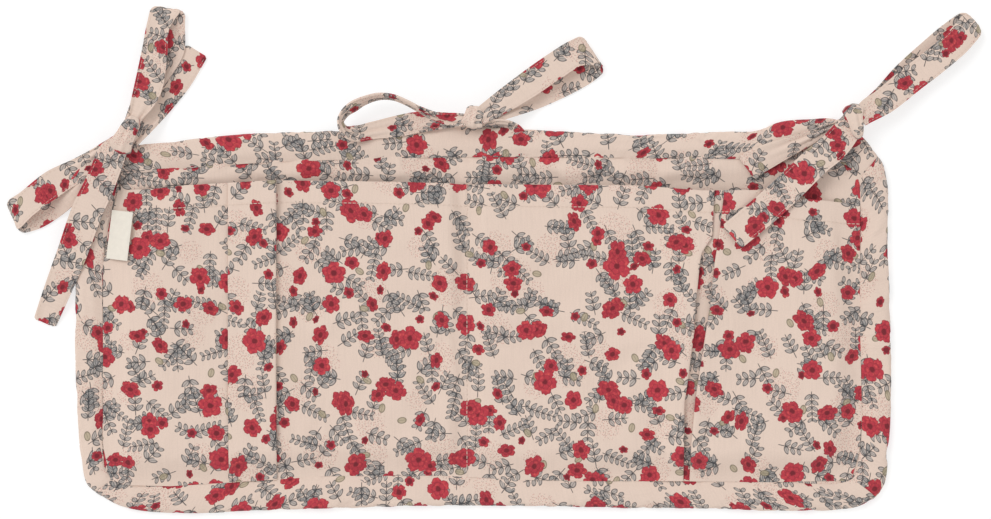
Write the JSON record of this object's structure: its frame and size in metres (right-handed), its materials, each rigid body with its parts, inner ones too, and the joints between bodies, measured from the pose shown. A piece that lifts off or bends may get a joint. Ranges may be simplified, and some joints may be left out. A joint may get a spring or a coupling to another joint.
{
  "type": "bedside caddy",
  "caption": "Padded fabric organizer with a row of pleated open-topped pockets, a bound edge and tape ties for hanging it from a cot or bed rail.",
  "frame": {"origin": "the middle of the bounding box, on the surface that the caddy lies on", "axes": "+X along the panel to the right as seen from the front, +Y towards the edge with the ties, +Z out of the front"},
  "size_m": [0.7206, 0.3727, 0.0205],
  "materials": {
    "printed_cotton": "matte plain weave with a small printed pattern",
    "tape_cotton": "matte folded and stitched tape of the same cotton",
    "plain_cotton": "matte plain weave",
    "polyester_fleece": "soft fleece wadding",
    "woven_satin": "woven satin ribbon"
  },
  "bodies": {
    "panel": {"back_panel": "plain_cotton", "wadding": "polyester_fleece", "front_lining": "printed_cotton", "top_band": "printed_cotton", "right_binding": "printed_cotton", "bottom_binding": "printed_cotton", "left_binding": "printed_cotton", "pocket_panel": "printed_cotton", "left_tie_knot": "tape_cotton", "centre_tie_knot": "tape_cotton", "right_tie_knot": "tape_cotton", "left_tie_base": "tape_cotton", "centre_tie_base": "tape_cotton", "right_tie_base": "tape_cotton"},
    "left_upper_loop": {"left_tie_upper_loop": "tape_cotton"},
    "left_upper_end": {"left_tie_upper_end": "tape_cotton"},
    "left_side_loop": {"left_tie_side_loop": "tape_cotton"},
    "left_long_end": {"left_tie_long_end": "tape_cotton"},
    "centre_left_loop": {"centre_tie_left_loop": "tape_cotton"},
    "centre_right_loop": {"centre_tie_right_loop": "tape_cotton"},
    "right_loop": {"right_tie_loop": "tape_cotton"},
    "right_long_end": {"right_tie_long_end": "tape_cotton"},
    "right_short_end": {"right_tie_short_end": "tape_cotton"},
    "label": {"woven_label": "woven_satin"}
  },
  "joints": [
    {"name": "left_upper_loop_lift", "type": "hinge", "parent": "panel", "child": "left_upper_loop", "pos_m": [-0.26812, 0.09935, 0.018], "axis": [0.9364, -0.3509, 0], "range_deg": [0, 60]},
    {"name": "left_upper_end_lift", "type": "hinge", "parent": "panel", "child": "left_upper_end", "pos_m": [-0.26266, 0.0938, 0.012], "axis": [0.3347, -0.9423, 0], "range_deg": [0, 60]},
    {"name": "left_side_loop_lift", "type": "hinge", "parent": "panel", "child": "left_side_loop", "pos_m": [-0.2797, 0.08673, 0.018], "axis": [-0.4302, 0.9027, 0], "range_deg": [0, 45]},
    {"name": "left_long_end_lift", "type": "hinge", "parent": "panel", "child": "left_long_end", "pos_m": [-0.27348, 0.08103, 0.015], "axis": [-0.9769, 0.2135, 0], "range_deg": [0, 70]},
    {"name": "centre_left_loop_lift", "type": "hinge", "parent": "panel", "child": "centre_left_loop", "pos_m": [-0.02559, 0.104, 0.018], "axis": [0.2427, 0.9701, 0], "range_deg": [0, 60]},
    {"name": "centre_right_loop_lift", "type": "hinge", "parent": "panel", "child": "centre_right_loop", "pos_m": [-0.00901, 0.10695, 0.018], "axis": [0.5626, -0.8267, 0], "range_deg": [0, 60]},
    {"name": "right_loop_lift", "type": "hinge", "parent": "panel", "child": "right_loop", "pos_m": [0.27001, 0.10716, 0.018], "axis": [0.6647, -0.7471, 0], "range_deg": [0, 60]},
    {"name": "right_long_end_lift", "type": "hinge", "parent": "panel", "child": "right_long_end", "pos_m": [0.25718, 0.0931, 0.015], "axis": [-0.8003, 0.5997, 0], "range_deg": [0, 60]},
    {"name": "right_short_end_lift", "type": "hinge", "parent": "panel", "child": "right_short_end", "pos_m": [0.25427, 0.0984, 0.012], "axis": [-0.2843, 0.9587, 0], "range_deg": [0, 42]},
    {"name": "label_lift", "type": "hinge", "parent": "panel", "child": "label", "pos_m": [-0.28373, 0.01831, 0.00891], "axis": [-0.1184, -0.993, 0], "range_deg": [0, 80]}
  ]
}
